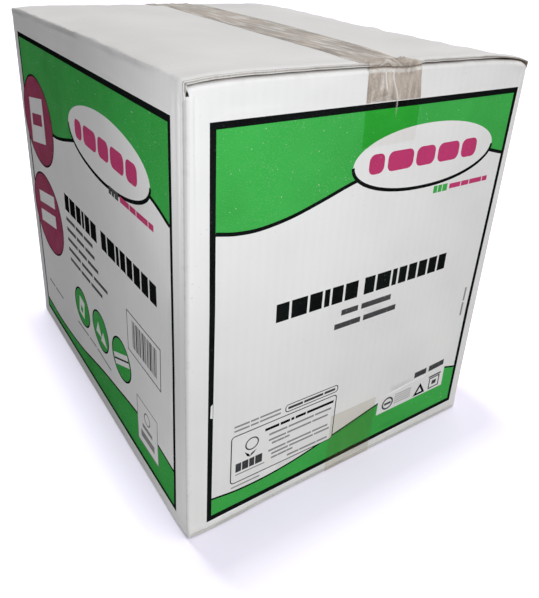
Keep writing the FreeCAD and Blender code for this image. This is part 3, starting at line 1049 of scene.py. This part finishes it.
def board_material(name, pale, dull, scuff):
    """White-faced board: cloudy paper, faint flutes, and folds rubbed through to the brown."""
    tree = Tree(name)
    base = tree.mix(tree.ranged(tree.noise(11, 5), 0.35, 0.7), pale, dull)
    base = tree.mix(tree.ranged(flute_wave(tree), -0.25, 0.25, 0.0, 0.025), base, FLUTE_GREY)
    rubbed = tree.times(tree.given("wear"), tree.ranged(tree.noise(160, 6), 0.52, 0.66), scuff)
    base = tree.mix(rubbed, base, RUBBED)
    base = tree.mix(tree.ranged(tree.noise(420, 2), 0.70, 0.76, 0.0, 0.35), base, FLECK)
    # painted shade, darker towards black in the near upright fold and in the upper folds' creases
    base = tree.mix(tree.given("shade"), base, BLACK)
    return tree.surface(base, roughness(tree, 60, 0.62, 0.8), 0.08, board_bump(tree))


def ink_material(name, rgb, deep, specks, shine=0.02):
    """A flat field of ink: a little uneven, with pinholes where it missed the paper."""
    tree = Tree(name)
    base = tree.mix(tree.ranged(tree.noise(16, 5), 0.35, 0.68), rgb, deep)
    missed = tree.total(tree.noise(520, 3), tree.times(flute_wave(tree), 0.05))
    base = tree.mix(tree.ranged(missed, 0.70, 0.735, 0.0, specks), base, PINHOLE)
    fine = tree.ranged(tree.noise(1500, 2), 0.55, 0.75, 0.0, specks * 0.35)
    base = tree.mix(fine, base, FINE_PINHOLE)
    return tree.surface(base, roughness(tree, 90, 0.6, 0.74), shine, board_bump(tree, 0.2))


def kraft_material(name, rgb, deep):
    """Brown paper: long fibres across a cloudy ground."""
    tree = Tree(name)
    base = tree.mix(tree.ranged(tree.noise(30, 5), 0.3, 0.7), rgb, deep)
    fibres = tree.ranged(tree.noise(500, 4, (1, 1, 0.15)), 0.55, 0.75, 0.0, 0.5)
    base = tree.mix(fibres, base, [c * 0.55 for c in deep])
    return tree.surface(base, roughness(tree, 80, 0.72, 0.9), 0.2, board_bump(tree, 0.6))


def tape_material(name, milky, stuck_share, film, tan):
    """Clear film over tan adhesive: streaked and milky where it is loose, and clear where it sticks."""
    tree = Tree(name)
    stuck, crease = tree.given("stuck"), tree.given("crease")
    strands = tree.noise(200, 5, (1.0, 0.08, 0.15))
    blots = tree.noise(700, 3, (1.0, 0.6, 1.0))
    drawn = tree.noise(40, 3, (0.7, 0.6, 0.8))
    tone = tree.total(tree.times(strands, 0.35), tree.times(blots, 0.3), tree.times(drawn, 0.35))
    body = tree.mix(tree.ranged(tone, 0.43, 0.61), [c * 0.42 for c in tan], tan)
    for part, low, high, most in ((blots, 0.66, 0.72, 0.5), (strands, 0.62, 0.70, 0.6)):
        body = tree.mix(tree.ranged(part, low, high, 0.0, most), body, MILK)
    # painted shade at the strip's edges and in its folds, with the darker tan of its flat sides
    dark = tree.times(tree.given("edge"), tree.ranged(blots, 0.35, 0.55, 0.35, 0.95))
    body = tree.mix(dark, body, TAPE_SHADE_AND_TAN)
    # painted highlights, with the film's own whitening and strands
    body = tree.mix(crease, body, TAPE_WHITENING_AND_HIGHLIGHT)
    height = tree.total(strands, tree.times(blots, 0.6))
    tree.surface(body, tree.ranged(strands, 0.3, 0.7, 0.30, 0.45), 0.25, tree.bump(height, 0.35, 0.0007))
    loose = tree.ranged(tone, 0.43, 0.61, milky * 1.6, milky * 0.8)
    loose = tree.times(loose, tree.math("SUBTRACT", 1.0, stuck))
    shown = tree.times(crease, tree.math("SUBTRACT", 0.85, tree.times(stuck, 0.55)))
    solid = tree.total(loose, tree.times(stuck, stuck_share))
    solid = tree.most(shown, tree.times(dark, 0.7), solid)
    return tree.show(solid, tree.add("BsdfTransparent", {"Color": film}), tree.shader.outputs[0])


def make_materials():
    return {
        "board": board_material("white_board", (0.80, 0.80, 0.80), (0.74, 0.74, 0.745), 0.5),
        "green": ink_material("green_ink", (0.049, 0.42, 0.076), (0.040, 0.36, 0.060), 0.5),
        # a darker copy of the green for the side panels: painted shade
        "side green": ink_material(
            "green_ink_of_sides_painted_shade", (0.032, 0.34, 0.055), (0.027, 0.29, 0.044), 0.5),
        "wet green": ink_material(
            "green_ink_under_film", (0.026, 0.39, 0.037), (0.022, 0.34, 0.030), 0.2),
        "black": ink_material("black_ink", (0.004, 0.005, 0.005), (0.007, 0.009, 0.009), 0.08, 0.0),
        "crimson": ink_material("crimson_ink", (0.29, 0.027, 0.082), (0.24, 0.019, 0.063), 0.25),
        "pink": ink_material("pink_ink", (0.52, 0.045, 0.165), (0.45, 0.035, 0.13), 0.25),
        "grey": ink_material("fine_print", (0.040, 0.042, 0.045), (0.060, 0.062, 0.065), 0.5),
        "faint": ink_material("finest_print", (0.23, 0.23, 0.235), (0.30, 0.30, 0.30), 0.5),
        "kraft": kraft_material("inner_liner", (0.29, 0.22, 0.16), (0.23, 0.17, 0.12)),
        "cut": kraft_material("cut_liner", (0.70, 0.695, 0.68), (0.58, 0.57, 0.55)),
        "hollow": kraft_material("fluting", (0.60, 0.58, 0.55), (0.34, 0.32, 0.29)),
        "tape": tape_material("tan_tape", 0.42, 0.0, (0.985, 0.98, 0.975), (0.84, 0.73, 0.625)),
        "clear tape": tape_material("clear_tape", 0.0, 0.035, (0.975, 0.97, 0.955), (0.52, 0.43, 0.22)),
    }


# --- floor, lamps and camera ---


# The floor glows less near the carton: a painted shadow rim, its middle moved a little forward.
FORWARD = 0.012  # metres that the middle of the shadow lies in front of the carton's
PAINTED_SHADOW_RIM, GLOW = (0.022, 0.066), (0.13, 0.43)  # metres beyond the carton, and how the floor glows there

SKY_TOWARD = (0.495, -0.504, 0.707)
SKY = (0.085, 1.62)  # strength at the side and at its brightest

# The photo's camera, in metres and degrees
CAMERA_PLACE = (-0.29702, -0.49393, 0.41782)
CAMERA_TURN = (65.177, -3.269, -34.143)
CAMERA_LENS = 37.606
CAMERA_SHIFT = (-0.02025, -0.11273)


def seen_plainly(tree):
    """1 where a ray comes from the camera or by gloss or glass, and 0 where it lights something."""
    path = tree.nodes.new("ShaderNodeLightPath").outputs
    return tree.most(path["Is Camera Ray"], path["Is Glossy Ray"], path["Is Transmission Ray"])


def beyond_carton(tree):
    """How far a point of the floor lies outside the carton's footprint, moved a little forward."""
    point = tree.place["Object"]
    for operation, other in (("ADD", (0, FORWARD, 0)), ("ABSOLUTE", (0, 0, 0)),
                             ("SUBTRACT", (RIGHT * MM, BACK * MM, 0)), ("MAXIMUM", (0, 0, 0))):
        point = tree.add("VectorMath", {0: point, 1: other}, operation=operation)
    return tree.add("VectorMath", {0: point}, "Value", operation="LENGTH")


def make_floor():
    """A pale floor that glows less near the carton, a painted shadow rim, and throws less light back than
    is seen.
    """
    bpy.ops.mesh.primitive_grid_add(x_subdivisions=8, y_subdivisions=8, size=30)
    floor = bpy.context.object
    floor.name = "floor"
    tree = Tree("pale_floor")
    plain = {"Base Color": (0.30, 0.30, 0.31), "Roughness": 0.9, "Specular IOR Level": 0.0}
    tree.fill(tree.shader, plain)
    paper = tree.mix(tree.noise(0.8, 2), (0.83, 0.805, 0.95), (0.85, 0.825, 0.97))
    pale = tree.add("BsdfDiffuse", {"Color": paper})
    # painted shadow rim: less glow near the carton
    strength = tree.ranged(beyond_carton(tree), *PAINTED_SHADOW_RIM, *GLOW)
    glow = tree.add("Emission", {"Color": WHITE, "Strength": strength})
    both = tree.add("AddShader", {0: pale, 1: glow})
    floor.data.materials.append(tree.show(seen_plainly(tree), tree.shader.outputs[0], both))
    floor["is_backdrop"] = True
    return floor


def make_world():
    """A soft room, brightest overhead and a little to the front. The camera sees it plain white."""
    tree = Tree("studio", "worlds")
    values = {0: tree.place["Generated"], 1: SKY_TOWARD}
    facing = tree.add("VectorMath", values, "Value", operation="DOT_PRODUCT")
    strength = tree.ranged(facing, 0.0, 1.0, *SKY)
    tree.fill(tree.shader, {"Color": (1.0, 0.985, 0.968), "Strength": strength})
    white = tree.add("Background", {"Color": WHITE})
    bpy.context.scene.world = tree.show(seen_plainly(tree), tree.shader.outputs[0], white)


def make_lamp(lit, name, place, target, size, power, tint=WHITE):
    data = bpy.data.lights.new(name, "AREA")
    data.shape = "DISK"
    data.size, data.energy, data.color = size, power, tint
    lamp = bpy.data.objects.new(name, data)
    lamp.location = place
    lamp.rotation_euler = (Vector(target) - Vector(place)).to_track_quat("-Z", "Y").to_euler()
    lamp.visible_camera = False
    bpy.context.scene.collection.objects.link(lamp)
    reached = bpy.data.collections.new("lit_by_" + name)
    for piece in lit:
        reached.objects.link(piece)
    lamp.light_linking.receiver_collection = reached


CARTON_LAMPS = (  # name, place, aimed at, size, power, tint. The two of the side are at the near fold
    ("flash", (-0.176, -0.45, 0.40), (0, -0.19, 0.2), 0.12, 0.35, (0.94, 0.98, 1.0)),
    ("side_0.03", (-0.29, -0.225, 0.03), (-0.15, -0.16, 0.03), 0.08, 0.062),
    ("side_0.31", (-0.29, -0.225, 0.31), (-0.15, -0.16, 0.31), 0.08, 0.105),
    ("back", (0.6, 1.6, 0.15), (0, 0.2, 0.18), 0.28, 9.0),
)
FLOOR_LAMP = ("above", (-0.15, 0.4, 2.35), (0, 0, 0), 0.35, 29.0)  # for the carton's shadow


def make_lamps(floor):
    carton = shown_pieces()
    for lamp in CARTON_LAMPS:
        make_lamp(carton, *lamp)
    make_lamp([floor], *FLOOR_LAMP)


def make_camera():
    data = bpy.data.cameras.new("camera")
    data.lens, data.clip_start = CAMERA_LENS, 0.01
    data.shift_x, data.shift_y = CAMERA_SHIFT
    camera = bpy.data.objects.new("camera", data)
    camera.location = CAMERA_PLACE
    camera.rotation_euler = [math.radians(angle) for angle in CAMERA_TURN]
    bpy.context.scene.collection.objects.link(camera)
    bpy.context.scene.camera = camera


# --- the scene ---


def dress(piece, node):
    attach(piece, "root")
    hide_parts(node)


def main():
    make_camera()
    materials = make_materials()
    dress(make_carton(materials), "carton")
    top = make_tape("top_tape", materials, "tape", "sealing_tape_top", tape_slide)
    dress(top, "top_tape")
    base = make_tape("bottom_tape", materials, "clear tape", "sealing_tape_base", lambda share, run: 0.0)
    dress(base, "bottom_tape")
    make_world()
    make_lamps(make_floor())
    bpy.context.scene.view_settings.view_transform = "Standard"


main()
